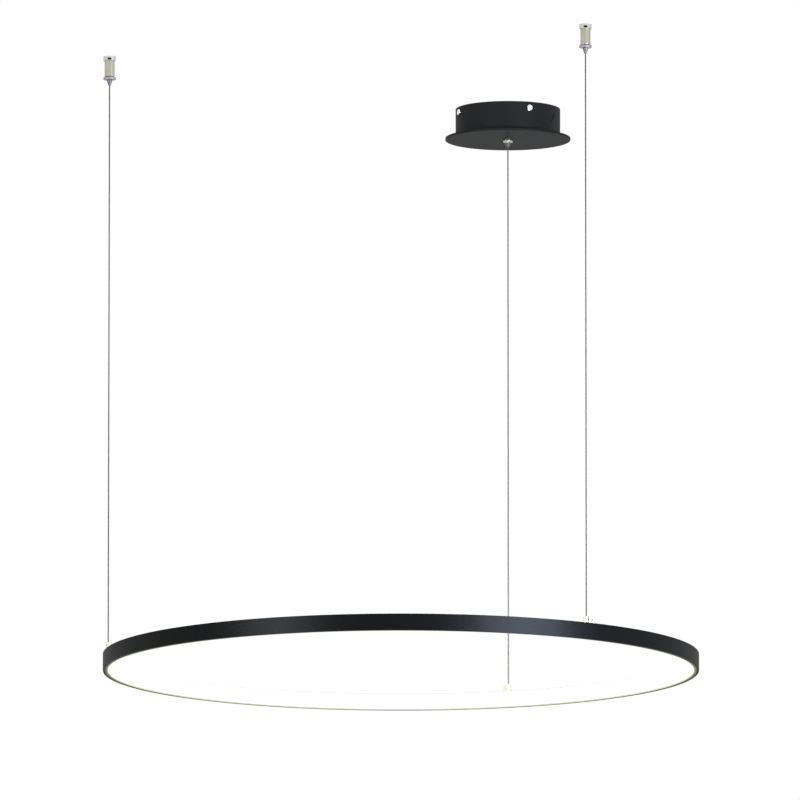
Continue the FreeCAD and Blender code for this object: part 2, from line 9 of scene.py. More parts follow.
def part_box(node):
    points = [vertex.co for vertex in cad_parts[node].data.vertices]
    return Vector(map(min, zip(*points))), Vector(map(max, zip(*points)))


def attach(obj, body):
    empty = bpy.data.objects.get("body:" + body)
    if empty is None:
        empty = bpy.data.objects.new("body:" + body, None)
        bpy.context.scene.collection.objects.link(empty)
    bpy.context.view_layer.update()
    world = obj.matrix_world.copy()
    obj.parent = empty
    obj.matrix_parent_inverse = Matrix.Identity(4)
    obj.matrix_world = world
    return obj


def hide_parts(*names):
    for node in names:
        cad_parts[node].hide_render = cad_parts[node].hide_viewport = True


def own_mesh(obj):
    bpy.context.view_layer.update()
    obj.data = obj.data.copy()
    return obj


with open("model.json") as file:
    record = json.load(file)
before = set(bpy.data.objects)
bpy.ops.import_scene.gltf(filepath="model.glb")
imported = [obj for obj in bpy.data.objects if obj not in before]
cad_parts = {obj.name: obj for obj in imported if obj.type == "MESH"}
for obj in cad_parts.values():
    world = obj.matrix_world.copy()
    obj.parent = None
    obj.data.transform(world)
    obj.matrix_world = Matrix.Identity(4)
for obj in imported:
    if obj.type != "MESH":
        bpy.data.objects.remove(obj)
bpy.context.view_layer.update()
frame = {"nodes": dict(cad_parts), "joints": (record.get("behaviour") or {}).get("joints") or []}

bl_info = {
    "name": "Ring Chandelier",
    "version": (1, 0, 0),
    "blender": (4, 5, 0),
    "location": "3D View > Sidebar > Ring Chandelier",
    "description": "Dresses the suspended LED ring: coats, cables, screws, light and studio",
    "category": "Object",
}

NODES = frame["nodes"]
STATIONS = ("anchor_1", "anchor_2", "feed")

# Each cable's route, straight down its station's axis: top in the grip, foot in the ring's fitting.
ROUTES = {
    "anchor_1_cable": ((-0.538271, -0.425096, -0.0107), (-0.538271, -0.425096, -0.8001)),
    "anchor_2_cable": ((0.099010, -0.678712, -0.0107), (0.099010, -0.678712, -0.8001)),
    "feed_cable": ((0.0, 0.0, -0.0234), (0.0, 0.0, -0.8066)),
}

FRAME_PIXELS = 800
# The point in the middle of the picture.
AIM = Vector((-0.1477, -0.3679, -0.4584))

# Turned outlines stop this far from their axis, so that the spin leaves no doubled pole.
AXIS = 0.00002

# Colours of small pieces, and of those that the canopy, the grips and the channel hide.
ROPE_STEEL = (0.1, 0.093, 0.083)
BRASS = (0.78, 0.6, 0.3)
SPRING_STEEL = (0.5, 0.5, 0.5)
CRIMP_STEEL = (0.55, 0.55, 0.53)
BLACK_OXIDE = (0.03, 0.03, 0.032)
SCREW_CHROME = (0.86, 0.86, 0.87)
ZINC = (0.6, 0.61, 0.6)
ALUMINIUM = (0.72, 0.72, 0.73)
DRIVER_WHITE = (0.82, 0.82, 0.8)
STRIP_WHITE = (0.82, 0.82, 0.79)
CONNECTOR_WHITE = (0.8, 0.79, 0.74)
RUBBER_BLACK = (0.006, 0.006, 0.006)
# Painted light: the palest tone of the cover's light, painted as emission on the lip's edge.
PALE_GLOW = (0.75, 0.76, 0.6)

# Grain of a plated piece that was turned about an upright axis: fine rings, hardly any change round them.
TURNED = (40, 40, 900)


# ---------------------------------------------------------------- sizes and colours

class RingFinish(bpy.types.PropertyGroup):
    """Looks of the ring itself."""
    coat: bpy.props.FloatVectorProperty(
        name="Ring coat", description="Colour of the satin coat on the channel", subtype="COLOR",
        size=3, min=0, max=1, default=(0.0025, 0.0026, 0.0027))
    edge: bpy.props.FloatProperty(
        name="Edge rounding", description="Rounding of the channel's rolled edges", unit="LENGTH",
        min=0, default=0.0006, precision=5)
    lens_edge: bpy.props.FloatProperty(
        name="Cover rounding", description="Rounding of the opal cover's edges", unit="LENGTH",
        min=0, default=0.0005, precision=5)
    glow: bpy.props.FloatProperty(
        name="Glow", description="Strength of the lit opal cover", min=0, default=1.25)
    lip: bpy.props.FloatProperty(
        name="Lip", description="From the ring's outer wall to the lip's inner edge", unit="LENGTH",
        min=0, default=0.0073, precision=5)
    # Painted light: the cover's light on the lip is emission in the ring's coat; spill and spilt set its
    # reach and colour.
    spill: bpy.props.FloatProperty(
        name="Spill", description="How far the cover's light reaches out over the lip", unit="LENGTH",
        min=0, default=0.005, precision=5)
    spilt: bpy.props.FloatVectorProperty(
        name="Spilt light", description="Colour of the cover's light on the lip", subtype="COLOR",
        size=3, min=0, max=1, default=(0.17, 0.18, 0.075))


class CanopyFinish(bpy.types.PropertyGroup):
    """Looks of the canopy and of what it hides."""
    coat: bpy.props.FloatVectorProperty(
        name="Canopy coat", description="Colour of the satin coat on drum and disc", subtype="COLOR",
        size=3, min=0, max=1, default=(0.0085, 0.0085, 0.0088))
    edge: bpy.props.FloatProperty(
        name="Edge rounding", description="Rounding of the drum's and the disc's edges", unit="LENGTH",
        min=0, default=0.0005, precision=5)
    plug_height: bpy.props.FloatProperty(
        name="Plug height", description="Rubber plug in the drum's wall, above the disc", unit="LENGTH",
        min=0, default=0.0075, precision=5)
    recess_radius: bpy.props.FloatProperty(
        name="Screw socket", description="Radius of the socket in a side screw's head", unit="LENGTH",
        min=0, default=0.0018, precision=5)
    recess_depth: bpy.props.FloatProperty(
        name="Socket depth", description="Depth of the socket in a side screw's head", unit="LENGTH",
        min=0, default=0.0014, precision=5)


class CableFinish(bpy.types.PropertyGroup):
    """The three suspension cables."""
    diameter: bpy.props.FloatProperty(
        name="Diameter", description="Outer diameter of every cable", unit="LENGTH", min=0.0005,
        default=0.0018, precision=5)
    lay: bpy.props.FloatProperty(
        name="Lay length", description="Height in which a strand goes once round the rope",
        unit="LENGTH", min=0.004, default=0.014, precision=5)


class HardwareFinish(bpy.types.PropertyGroup):
    """Grips, fittings and small screws."""
    nickel: bpy.props.FloatVectorProperty(
        name="Barrel nickel", description="Colour of the ceiling anchors' barrels", subtype="COLOR",
        size=3, min=0, max=1, default=(0.47, 0.46, 0.36))
    collar: bpy.props.FloatVectorProperty(
        name="Collar nickel", description="Colour of the ceiling anchors' collars", subtype="COLOR",
        size=3, min=0, max=1, default=(0.6, 0.6, 0.55))
    chrome: bpy.props.FloatVectorProperty(
        name="Plunger chrome", description="Colour of the grips' release plungers", subtype="COLOR",
        size=3, min=0, max=1, default=(0.35, 0.342, 0.335))
    feed_chrome: bpy.props.FloatVectorProperty(
        name="Feed chrome", description="Colour of the feed grip's barrel", subtype="COLOR",
        size=3, min=0, max=1, default=(0.75, 0.74, 0.73))
    bright: bpy.props.FloatVectorProperty(
        name="Bright nickel", description="Colour of the fittings on the ring", subtype="COLOR",
        size=3, min=0, max=1, default=(0.8, 0.8, 0.64))
    # Painted shade: inside this radius the collar is coloured dark to stand in for the shade in its bore.
    bore: bpy.props.FloatProperty(
        name="Anchor bore", description="Radius inside which a collar is bare and dark",
        unit="LENGTH", min=0, default=0.0062, precision=5)
    # Inside this radius the plunger's colour is darker.
    tip: bpy.props.FloatProperty(
        name="Plunger tip", description="Radius inside which a plunger is tarnished by the cable",
        unit="LENGTH", min=0, default=0.0042, precision=5)
    edge: bpy.props.FloatProperty(
        name="Edge rounding", description="Rounding of turned and milled edges", unit="LENGTH",
        min=0, default=0.0004, precision=5)
    lock_radius: bpy.props.FloatProperty(
        name="Lock screw", description="Radius of the set screw in a fitting's lug", unit="LENGTH",
        min=0, default=0.0014, precision=5)


class StudioSetup(bpy.types.PropertyGroup):
    """Camera and light."""
    distance: bpy.props.FloatProperty(
        name="Camera distance", description="From the aim point to the camera", unit="LENGTH",
        default=24.0)
    elevation: bpy.props.FloatProperty(
        name="Camera elevation", description="Height of the camera above the aim point's horizon",
        subtype="ANGLE", default=math.radians(-8.64))
    azimuth: bpy.props.FloatProperty(
        name="Camera azimuth", description="Turn of the camera round the aim point",
        subtype="ANGLE", default=math.radians(-0.011))
    focal_pixels: bpy.props.FloatProperty(
        name="Focal length", description="Focal length in pixels of the 800 by 800 frame",
        default=17852.0)
    floor_height: bpy.props.FloatProperty(
        name="Floor", description="Height of the floor", unit="LENGTH", default=-4.6)
    room: bpy.props.FloatProperty(
        name="Room light", description="Plain light from all round on matt surfaces", min=0,
        default=0.5)
    right_level: bpy.props.FloatProperty(
        name="Right softbox", description="Light from the softbox on the right", min=0, default=37.0)
    right_colour: bpy.props.FloatVectorProperty(
        name="Right colour", description="Colour of the softbox on the right", subtype="COLOR",
        size=3, min=0, max=1, default=(0.66, 0.77, 1.0))
    left_level: bpy.props.FloatProperty(
        name="Left softbox", description="Light from the softbox on the left", min=0, default=15.0)
    left_colour: bpy.props.FloatVectorProperty(
        name="Left colour", description="Colour of the softbox on the left", subtype="COLOR",
        size=3, min=0, max=1, default=(0.82, 0.93, 1.0))
    fill_level: bpy.props.FloatProperty(
        name="Fill", description="Light from the lamps above and below", min=0, default=0.8)


# ---------------------------------------------------------------- finishes

class Value:
    """A socket in Python arithmetic: every operator adds one Math node."""

    def __init__(self, shop, socket):
        self.shop = shop
        self.socket = socket

    def maths(self, operation, first, second):
        return self.shop.node("ShaderNodeMath", {"operation": operation}, {0: first, 1: second})

    def __add__(self, other):
        return self.maths("ADD", self, other)

    def __radd__(self, other):
        return self.maths("ADD", other, self)

    def __mul__(self, other):
        return self.maths("MULTIPLY", self, other)

    def __rmul__(self, other):
        return self.maths("MULTIPLY", other, self)


class Shop:
    """Node tree of one material."""

    def __init__(self, name):
        self.material = bpy.data.materials.new(name)
        self.material.use_nodes = True
        self.tree = self.material.node_tree
        self.tree.nodes.clear()

    @classmethod
    def over(cls, tree):
        """Works on a tree that already exists."""
        shop = cls.__new__(cls)
        shop.tree = tree
        return shop

    def put(self, kind, settings=None, inputs=None):
        """Adds any node: its type, its settings, its inputs as sockets or plain values."""
        made = self.tree.nodes.new(kind)
        for key, value in (settings or {}).items():
            setattr(made, key, value)
        for key, value in (inputs or {}).items():
            if isinstance(value, Value):
                self.tree.links.new(value.socket, made.inputs[key])
            else:
                made.inputs[key].default_value = value
        return made

    def node(self, kind, settings=None, inputs=None, output=0):
        """Same, read from one of its outputs."""
        return Value(self, self.put(kind, settings, inputs).outputs[output])

    def place(self, scale=(1, 1, 1)):
        """Object coordinates, stretched per axis."""
        spot = self.node("ShaderNodeTexCoord", output="Object")
        return self.node("ShaderNodeMapping", None, {"Vector": spot, "Scale": scale})

    def noise(self, spot, scale, detail=3.0):
        return self.node("ShaderNodeTexNoise", None, {"Vector": spot, "Scale": scale, "Detail": detail})

    def blend(self, share, first, second):
        """Colour between two, each a colour or the outcome of another node."""
        first, second = (colour if isinstance(colour, Value) else (*colour, 1.0)
                         for colour in (first, second))
        return self.node("ShaderNodeMix", {"data_type": "RGBA"}, {0: share, 6: first, 7: second}, output=2)

    def vector(self, operation, first, second, output=0):
        return self.node("ShaderNodeVectorMath", {"operation": operation}, {0: first, 1: second}, output)

    def ramp(self, value, start, end):
        """Smooth step from 0 at start to 1 at end."""
        return self.node("ShaderNodeMapRange", {"interpolation_type": "SMOOTHSTEP"},
                         {"Value": value, "From Min": start, "From Max": end})

    def radius_round(self, centre):
        """Distance from an upright axis through a point."""
        spot = self.node("ShaderNodeTexCoord", output="Object")
        flat = self.vector("MULTIPLY", self.vector("SUBTRACT", spot, centre), (1, 1, 0))
        return self.vector("LENGTH", flat, (0, 0, 0), output=1)

    def seen(self):
        """1 for rays that come from the camera, or from it by way of metal or glass."""
        rays = ("Is Camera Ray", "Is Glossy Ray", "Is Transmission Ray")
        camera, glossy, through = (self.node("ShaderNodeLightPath", output=ray) for ray in rays)
        return camera.maths("MAXIMUM", camera, glossy.maths("MAXIMUM", glossy, through))

    def bump(self, height, strength, distance):
        return self.node("ShaderNodeBump", None,
                         {"Height": height, "Strength": strength, "Distance": distance})

    def skin(self, **inputs):
        """Principled surface; keys are its socket names with underscores."""
        named = {key.replace("_", " "): value for key, value in inputs.items()}
        body = self.node("ShaderNodeBsdfPrincipled", None, named)
        self.put("ShaderNodeOutputMaterial", None, {"Surface": body})
        return self.material


def shaded(colour, factor):
    """Colour made darker or lighter by a factor."""
    return tuple(min(1.0, channel * factor) for channel in colour)


def satin_coat(name, colour, roughness, gloss, ior=1.5, spill=None):
    """Powder coat: matt body, a faint satin skin with orange peel, a few dust specks, painted light spilt
    from the cover as emission.
    """
    shop = Shop(name)
    spot = shop.place()
    peel = shop.noise(spot, scale=900.0, detail=2.0)
    cloud = shop.noise(spot, scale=14.0, detail=4.0)
    dust = shop.ramp(shop.noise(spot, scale=420.0, detail=1.0), start=0.70, end=0.78)
    return shop.skin(
        Base_Color=shop.blend(cloud * 0.5 + dust * 0.35, colour, shaded(colour, 1.9)),
        Roughness=0.5 + cloud * 0.1,
        Specular_IOR_Level=0.0,
        Coat_Weight=gloss * (0.7 + peel * 0.4 + cloud * 0.2),
        Coat_Roughness=roughness,
        Coat_IOR=ior,
        Normal=shop.bump(peel, strength=0.10, distance=0.0002),
        **(spill(shop) if spill else {}))


def spilt_glow(centre, near, reach, colour):
    """Painted light: emission on the lips beside the cover stands in for its warm light, pale at their
    edge, then olive, then nothing.
    """
    def spill(shop):
        radius = shop.radius_round(centre)
        halo = shop.ramp(radius, start=near + reach, end=near + reach / 2)
        edge = shop.ramp(radius, start=near + reach * 0.4, end=near)
        tint = shop.blend(edge, shop.blend(halo, (0, 0, 0), colour), PALE_GLOW)
        return {"Emission_Color": tint, "Emission_Strength": 1.0}
    return spill


def plated(name, colour, roughness, grain=TURNED, wear=0.88, core=None):
    """Plated metal with fine grain and soft cloudy tarnish.

    wear is the tarnish's shade. core is an axis, a radius and the factor that darkens the metal inside it;
    on the anchors' collars that darkening is painted shade in the bore.
    """
    shop = Shop(name)
    lines = shop.noise(shop.place(grain), scale=3.0, detail=2.0)
    cloud = shop.noise(shop.place(), scale=90.0)
    tint = shop.blend(cloud, shaded(colour, wear), colour)
    # Inside the core's radius the metal is coloured darker: painted shade in the anchors' bores, a darker
    # cone on the plungers.
    if core:
        axis, radius, shade = core
        inside = shop.ramp(shop.radius_round(axis), start=radius * 1.1, end=radius)
        tint = shop.blend(inside, tint, shaded(colour, shade))
    return shop.skin(
        Base_Color=tint,
        Metallic=1.0,
        Roughness=roughness - 0.04 + lines * 0.08,
        Normal=shop.bump(lines, strength=0.05, distance=0.0001))


def moulded(name, colour, roughness=0.45):
    """Moulded plastic with a fine spark-eroded grain."""
    shop = Shop(name)
    spot = shop.place()
    grain = shop.noise(spot, scale=1400.0, detail=2.0)
    cloud = shop.noise(spot, scale=30.0, detail=2.0)
    return shop.skin(
        Base_Color=shop.blend(cloud, shaded(colour, 0.92), colour),
        Roughness=roughness + grain * 0.08,
        Normal=shop.bump(grain, strength=0.12, distance=0.0001))


def lit_opal(name, glow):
    """Opal cover lit from behind: nearly even, with the clouding and grain of extruded acrylic."""
    shop = Shop(name)
    spot = shop.place()
    cloud = shop.noise(spot, scale=9.0, detail=2.0)
    grain = shop.noise(spot, scale=1600.0, detail=2.0)
    return shop.skin(
        Base_Color=shop.blend(cloud, (0.88, 0.87, 0.82), (0.93, 0.92, 0.89)),
        Roughness=0.4 + grain * 0.1,
        Emission_Color=shop.blend(cloud, (1.0, 0.97, 0.88), (1.0, 0.985, 0.93)),
        Emission_Strength=glow,
        Normal=shop.bump(grain, strength=0.08, distance=0.0001))


def lit_chip(name):
    """Phosphor of the light strip's chips, lit."""
    shop = Shop(name)
    cloud = shop.noise(shop.place(), scale=600.0, detail=2.0)
    tint = shop.blend(cloud, (0.95, 0.8, 0.3), (1.0, 0.88, 0.42))
    return shop.skin(Base_Color=tint, Roughness=0.25 + cloud * 0.1, Emission_Color=tint,
                     Emission_Strength=1.5)


def sheath(name):
    """Clear plastic sheath over tinned copper: grey, with the twist of the cores showing through."""
    shop = Shop(name)
    cores = shop.node("ShaderNodeTexWave", {"wave_type": "BANDS", "bands_direction": "Z"},
                      {"Vector": shop.place(), "Scale": 45.0, "Distortion": 1.2, "Detail": 1.0})
    return shop.skin(
        Base_Color=shop.blend(cores, (0.085, 0.078, 0.068), (0.14, 0.128, 0.112)),
        Roughness=0.28 + cores * 0.08,
        Coat_Weight=0.15,
        Coat_Roughness=0.2,
        Normal=shop.bump(cores, strength=0.15, distance=0.0001))


# ---------------------------------------------------------------- shaping

def finished(name, shape, finish, body, stands_for=(), crease=30.0):
    """Turns a bmesh into a piece that rides on a body, smooth but for edges sharper than the crease."""
    for edge in shape.edges:
        if edge.is_manifold and edge.calc_face_angle(0.0) > math.radians(crease):
            edge.smooth = False
    mesh = bpy.data.meshes.new(name)
    shape.to_mesh(mesh)
    shape.free()
    mesh.polygons.foreach_set("use_smooth", [True] * len(mesh.polygons))
    mesh.materials.append(finish)
    piece = bpy.data.objects.new(name, mesh)
    bpy.context.scene.collection.objects.link(piece)
    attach(piece, body)
    if stands_for:
        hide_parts(*stands_for)
    return piece


def copy_of(node):
    """Merged copy of a CAD node's mesh, with its flat faces whole again."""
    shape = bmesh.new()
    shape.from_mesh(NODES[node].data)
    bmesh.ops.remove_doubles(shape, verts=shape.verts, dist=1e-6)
    bmesh.ops.dissolve_limit(shape, angle_limit=math.radians(0.6), verts=shape.verts, edges=shape.edges)
    return shape


def round_edges(shape, width, segments, sharper_than=40.0):
    """Bevels every edge whose faces meet at more than the given angle; the faces beside stay flat."""
    limit = math.radians(sharper_than)
    edges = [edge for edge in shape.edges if edge.is_manifold and edge.calc_face_angle(0.0) > limit]
    rounding = set(bmesh.ops.bevel(
        shape, geom=edges, offset=width, offset_type="OFFSET", segments=segments, profile=0.5,
        affect="EDGES", material=-1, clamp_overlap=True)["faces"])
    for face in rounding:
        for edge in face.edges:
            edge.smooth = all(neighbour in rounding for neighbour in edge.link_faces)
    bmesh.ops.recalc_face_normals(shape, faces=shape.faces)


def softened(node, finish, body, width, segments=2):
    """CAD node with its edges rounded; the piece stands for the node."""
    shape = copy_of(node)
    round_edges(shape, width, segments)
    return finished(f"{node}_soft", shape, finish, body, (node,))


def spun(outline, steps, rounding=0.0):
    """Closed outline of (radius, height) corners spun once about the vertical axis."""
    shape = bmesh.new()
    corners = [shape.verts.new((radius, 0, height)) for radius, height in outline]
    shape.faces.new(corners)
    if rounding:
        bmesh.ops.bevel(shape, geom=corners, offset=rounding, offset_type="OFFSET", segments=2,
                        profile=0.5, affect="VERTICES", material=-1, clamp_overlap=True)
    section = shape.faces[:][0]
    rim = list(section.edges)
    bmesh.ops.delete(shape, geom=[section], context="FACES_ONLY")
    bmesh.ops.spin(shape, geom=rim, cent=(0, 0, 0), axis=(0, 0, 1), angle=2 * math.pi, steps=steps,
                   use_merge=True)
    bmesh.ops.remove_doubles(shape, verts=shape.verts, dist=1e-7)
    bmesh.ops.recalc_face_normals(shape, faces=shape.faces)
    return shape


def joined(shapes):
    """One bmesh out of several."""
    whole = bmesh.new()
    for shape in shapes:
        mesh = bpy.data.meshes.new("part")
        shape.to_mesh(mesh)
        shape.free()
        whole.from_mesh(mesh)
        bpy.data.meshes.remove(mesh)
    return whole


def dress(node, finish):
    """Gives a carried-over CAD node its finish."""
    for place in NODES[node].material_slots:
        place.material = finish


def middle(node):
    low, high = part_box(node)
    return (Vector(low) + Vector(high)) / 2


def radius_of(node):
    low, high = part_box(node)
    return (high[0] - low[0]) / 2


def foot_of(node):
    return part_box(node)[0][2]


def travel_of(joint):
    """How far a slide goes from rest."""
    return next(row for row in frame["joints"] if row["name"] == joint)["range_m"][1]


def along(direction, spot):
    """Matrix that lays the vertical axis along a direction at a spot."""
    return Matrix.Translation(spot) @ direction.to_track_quat("Z", "Y").to_matrix().to_4x4()


# ---------------------------------------------------------------- pieces

class CHANDELIER_OT_studio(bpy.types.Operator):
    """Camera, lamps, white backdrop and floor"""
    bl_idname = "chandelier.studio"
    bl_label = "Studio"

    def execute(self, context):
        setup = context.scene.chandelier_studio
        self.camera(context, setup)
        self.backdrop(context, setup)
        self.floor(context, setup)
        white = (1, 1, 1)
        self.lamp(context, "softbox_right", azimuth=42.0, height=0.19, reach=1.57, size=(0.85, 0.4),
                  level=setup.right_level, colour=setup.right_colour)
        self.lamp(context, "softbox_left", azimuth=-43.0, height=0.19, reach=1.57, size=(0.6, 0.4),
                  level=setup.left_level, colour=setup.left_colour)
        self.lamp(context, "fill_top", azimuth=20.0, height=4.0, reach=3.0, size=(2.5, 2.5),
                  level=setup.fill_level, colour=white)
        self.lamp(context, "fill_low", azimuth=-20.0, height=-3.2, reach=2.6, size=(2.2, 2.2),
                  level=setup.fill_level, colour=white)
        context.scene.view_settings.view_transform = "Standard"
        return {"FINISHED"}

    def camera(self, context, setup):
        data = bpy.data.cameras.new("camera")
        data.sensor_width = 36.0
        data.lens = setup.focal_pixels * data.sensor_width / FRAME_PIXELS
        data.clip_start = 1.0
        data.clip_end = 100.0
        camera = bpy.data.objects.new("camera", data)
        context.scene.collection.objects.link(camera)
        back = Vector((math.sin(setup.azimuth) * math.cos(setup.elevation),
                       -math.cos(setup.azimuth) * math.cos(setup.elevation),
                       math.sin(setup.elevation)))
        camera.location = AIM + back * setup.distance
        camera.rotation_mode = "QUATERNION"
        camera.rotation_quaternion = (-back).to_track_quat("-Z", "Y")
        context.scene.camera = camera

    def lamp(self, context, name, azimuth, height, reach, size, level, colour):
        """Rectangular lamp aimed at the ring's middle; its level is the light that leaves its face."""
        data = bpy.data.lights.new(name, "AREA")
        data.shape = "RECTANGLE"
        data.size, data.size_y = size
        data.energy = level * math.pi * data.size * data.size_y
        data.color = colour
        lamp = bpy.data.objects.new(name, data)
        context.scene.collection.objects.link(lamp)
        centre = middle("ring_channel")
        turn = math.radians(azimuth)
        lamp.location = centre + Vector((math.sin(turn) * reach, -math.cos(turn) * reach, height))
        lamp.rotation_mode = "QUATERNION"
        lamp.rotation_quaternion = (centre - lamp.location).to_track_quat("-Z", "Y")

    def backdrop(self, context, setup):
        """White all round where it is seen, itself or in metal and glass, and plain light elsewhere."""
        world = bpy.data.worlds.new("white_room")
        world.use_nodes = True
        world.node_tree.nodes.clear()
        context.scene.world = world
        shop = Shop.over(world.node_tree)
        plain = (setup.room,) * 3
        colour = shop.blend(shop.seen(), plain, (1, 1, 1))
        glow = shop.node("ShaderNodeBackground", None, {"Color": colour, "Strength": 1.0})
        shop.put("ShaderNodeOutputWorld", None, {"Surface": glow})

    def floor(self, context, setup):
        """White floor that keeps shadows and lets views from below look through."""
        paint_level = 0.6
        glow_share = 0.9
        half_width = 40.0
        shop = Shop("white_floor")
        paint = shop.node("ShaderNodeBsdfDiffuse", None, {"Color": (*(paint_level,) * 3, 1)})
        glow = shop.node("ShaderNodeEmission", None, {"Color": (1, 1, 1, 1), "Strength": 1.0})
        clear = shop.node("ShaderNodeBsdfTransparent")
        shown = shop.node("ShaderNodeMixShader", None, {0: shop.seen() * glow_share, 1: paint, 2: glow})
        below = shop.node("ShaderNodeNewGeometry", output="Backfacing")
        surface = shop.node("ShaderNodeMixShader", None, {0: below, 1: shown, 2: clear})
        shop.put("ShaderNodeOutputMaterial", None, {"Surface": surface})
        shape = bmesh.new()
        bmesh.ops.create_grid(shape, x_segments=1, y_segments=1, size=half_width)
        bmesh.ops.translate(shape, verts=shape.verts, vec=(0, 0, setup.floor_height))
        mesh = bpy.data.meshes.new("floor")
        shape.to_mesh(mesh)
        shape.free()
        mesh.materials.append(shop.material)
        floor = bpy.data.objects.new("floor", mesh)
        context.scene.collection.objects.link(floor)


class CHANDELIER_OT_cables(bpy.types.Operator):
    """Two stranded steel cables and the sheathed feed cable"""
    bl_idname = "chandelier.cables"
    bl_label = "Cables"

    def execute(self, context):
        sizes = context.scene.chandelier_cables
        steel = plated("cable_steel", ROPE_STEEL, 0.45, grain=(900, 900, 900))
        clear = sheath("cable_sheath")
        raised = travel_of("height_adjust")
        for name, (top, foot) in ROUTES.items():
            length = top[2] - foot[2]
            if name == "feed_cable":
                shape = self.tube(sizes.diameter / 2, length)
                slot, finish = "cable_coated", clear
            else:
                shape = self.rope(sizes.diameter / 2, length, sizes.lay)
                slot, finish = "cable_steel", steel
            bmesh.ops.translate(shape, verts=shape.verts, vec=foot)
            piece = finished(f"{name}_line", shape, finish, "ceiling", (name,), crease=60.0)
            self.path(context, top, foot)
            (length - raised) / length
            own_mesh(piece)
        return {"FINISHED"}

    def path(self, context, top, foot):
        """Points of the cable's line, read from its spline."""
        curve = bpy.data.curves.new("route", "CURVE")
        curve.dimensions = "3D"
        spline = curve.splines.new("NURBS")
        spline.points.add(1)
        for point, spot in zip(spline.points, (top, foot)):
            point.co = (*spot, 1.0)
        spline.order_u = 3
        spline.use_endpoint_u = True
        holder = bpy.data.objects.new("route", curve)
        context.scene.collection.objects.link(holder)
        line = bpy.data.meshes.new_from_object(holder.evaluated_get(context.evaluated_depsgraph_get()))
        points = [tuple(vertex.co) for vertex in line.vertices]
        bpy.data.objects.remove(holder)
        bpy.data.curves.remove(curve)
        bpy.data.meshes.remove(line)
        return points

    def tube(self, radius, length):
        shape = bmesh.new()
        bmesh.ops.create_cone(shape, cap_ends=True, segments=20, radius1=radius, radius2=radius,
                              depth=length)
        bmesh.ops.translate(shape, verts=shape.verts, vec=(0, 0, length / 2))
        return shape

    def rope(self, radius, length, lay):
        """Six strands laid round a straight core."""
        laid = 6
        strand = radius / 3
        clearance = 0.985
        turns = length / lay
        steps_per_turn = 9
        steps = round(turns * steps_per_turn)
        strands = []
        for number in range(laid + 1):
            shape = bmesh.new()
            bmesh.ops.create_circle(shape, cap_ends=False, segments=8, radius=strand * clearance)
            if number:
                bmesh.ops.translate(shape, verts=shape.verts, vec=(strand * 2, 0, 0))
                bmesh.ops.rotate(shape, verts=shape.verts, cent=(0, 0, 0),
                                 matrix=Matrix.Rotation(number * 2 * math.pi / laid, 3, "Z"))
                bmesh.ops.spin(shape, geom=shape.verts[:] + shape.edges[:], cent=(0, 0, 0),
                               axis=(0, 0, 1), dvec=(0, 0, length / steps),
                               angle=2 * math.pi * turns, steps=steps)
            else:
                raised = bmesh.ops.extrude_edge_only(shape, edges=shape.edges[:])["geom"]
                top = [item for item in raised if isinstance(item, bmesh.types.BMVert)]
                bmesh.ops.translate(shape, verts=top, vec=(0, 0, length))
            bmesh.ops.holes_fill(shape, edges=[edge for edge in shape.edges if edge.is_boundary])
            bmesh.ops.recalc_face_normals(shape, faces=shape.faces)
            strands.append(shape)
        return joined(strands)


class CHANDELIER_OT_ring(bpy.types.Operator):
    """Channel, opal cover and light strip"""
    bl_idname = "chandelier.ring"
    bl_label = "Ring"

    def execute(self, context):
        looks = context.scene.chandelier_ring
        lip_edge = radius_of("ring_channel") - looks.lip
        # Painted light: the coat glows on the lips to stand in for the cover's light.
        spill = spilt_glow(middle("ring_channel"), lip_edge, looks.spill, looks.spilt)
        coat = satin_coat("ring_coat", looks.coat, roughness=0.36, gloss=0.34, ior=1.3, spill=spill)
        opal = lit_opal("lit_opal", looks.glow)
        softened("ring_channel", coat, "ring", looks.edge, segments=3)
        softened("ring_diffuser", opal, "ring", looks.lens_edge, segments=3)
        dress("led_strip", moulded("strip_mask", STRIP_WHITE, 0.35))
        dress("led_chips", lit_chip("lit_chips"))
        dress("splice_bars", plated("mill_aluminium", ALUMINIUM, 0.35, grain=(400, 400, 400)))
        dress("strip_connector", moulded("connector_white", CONNECTOR_WHITE))
        return {"FINISHED"}


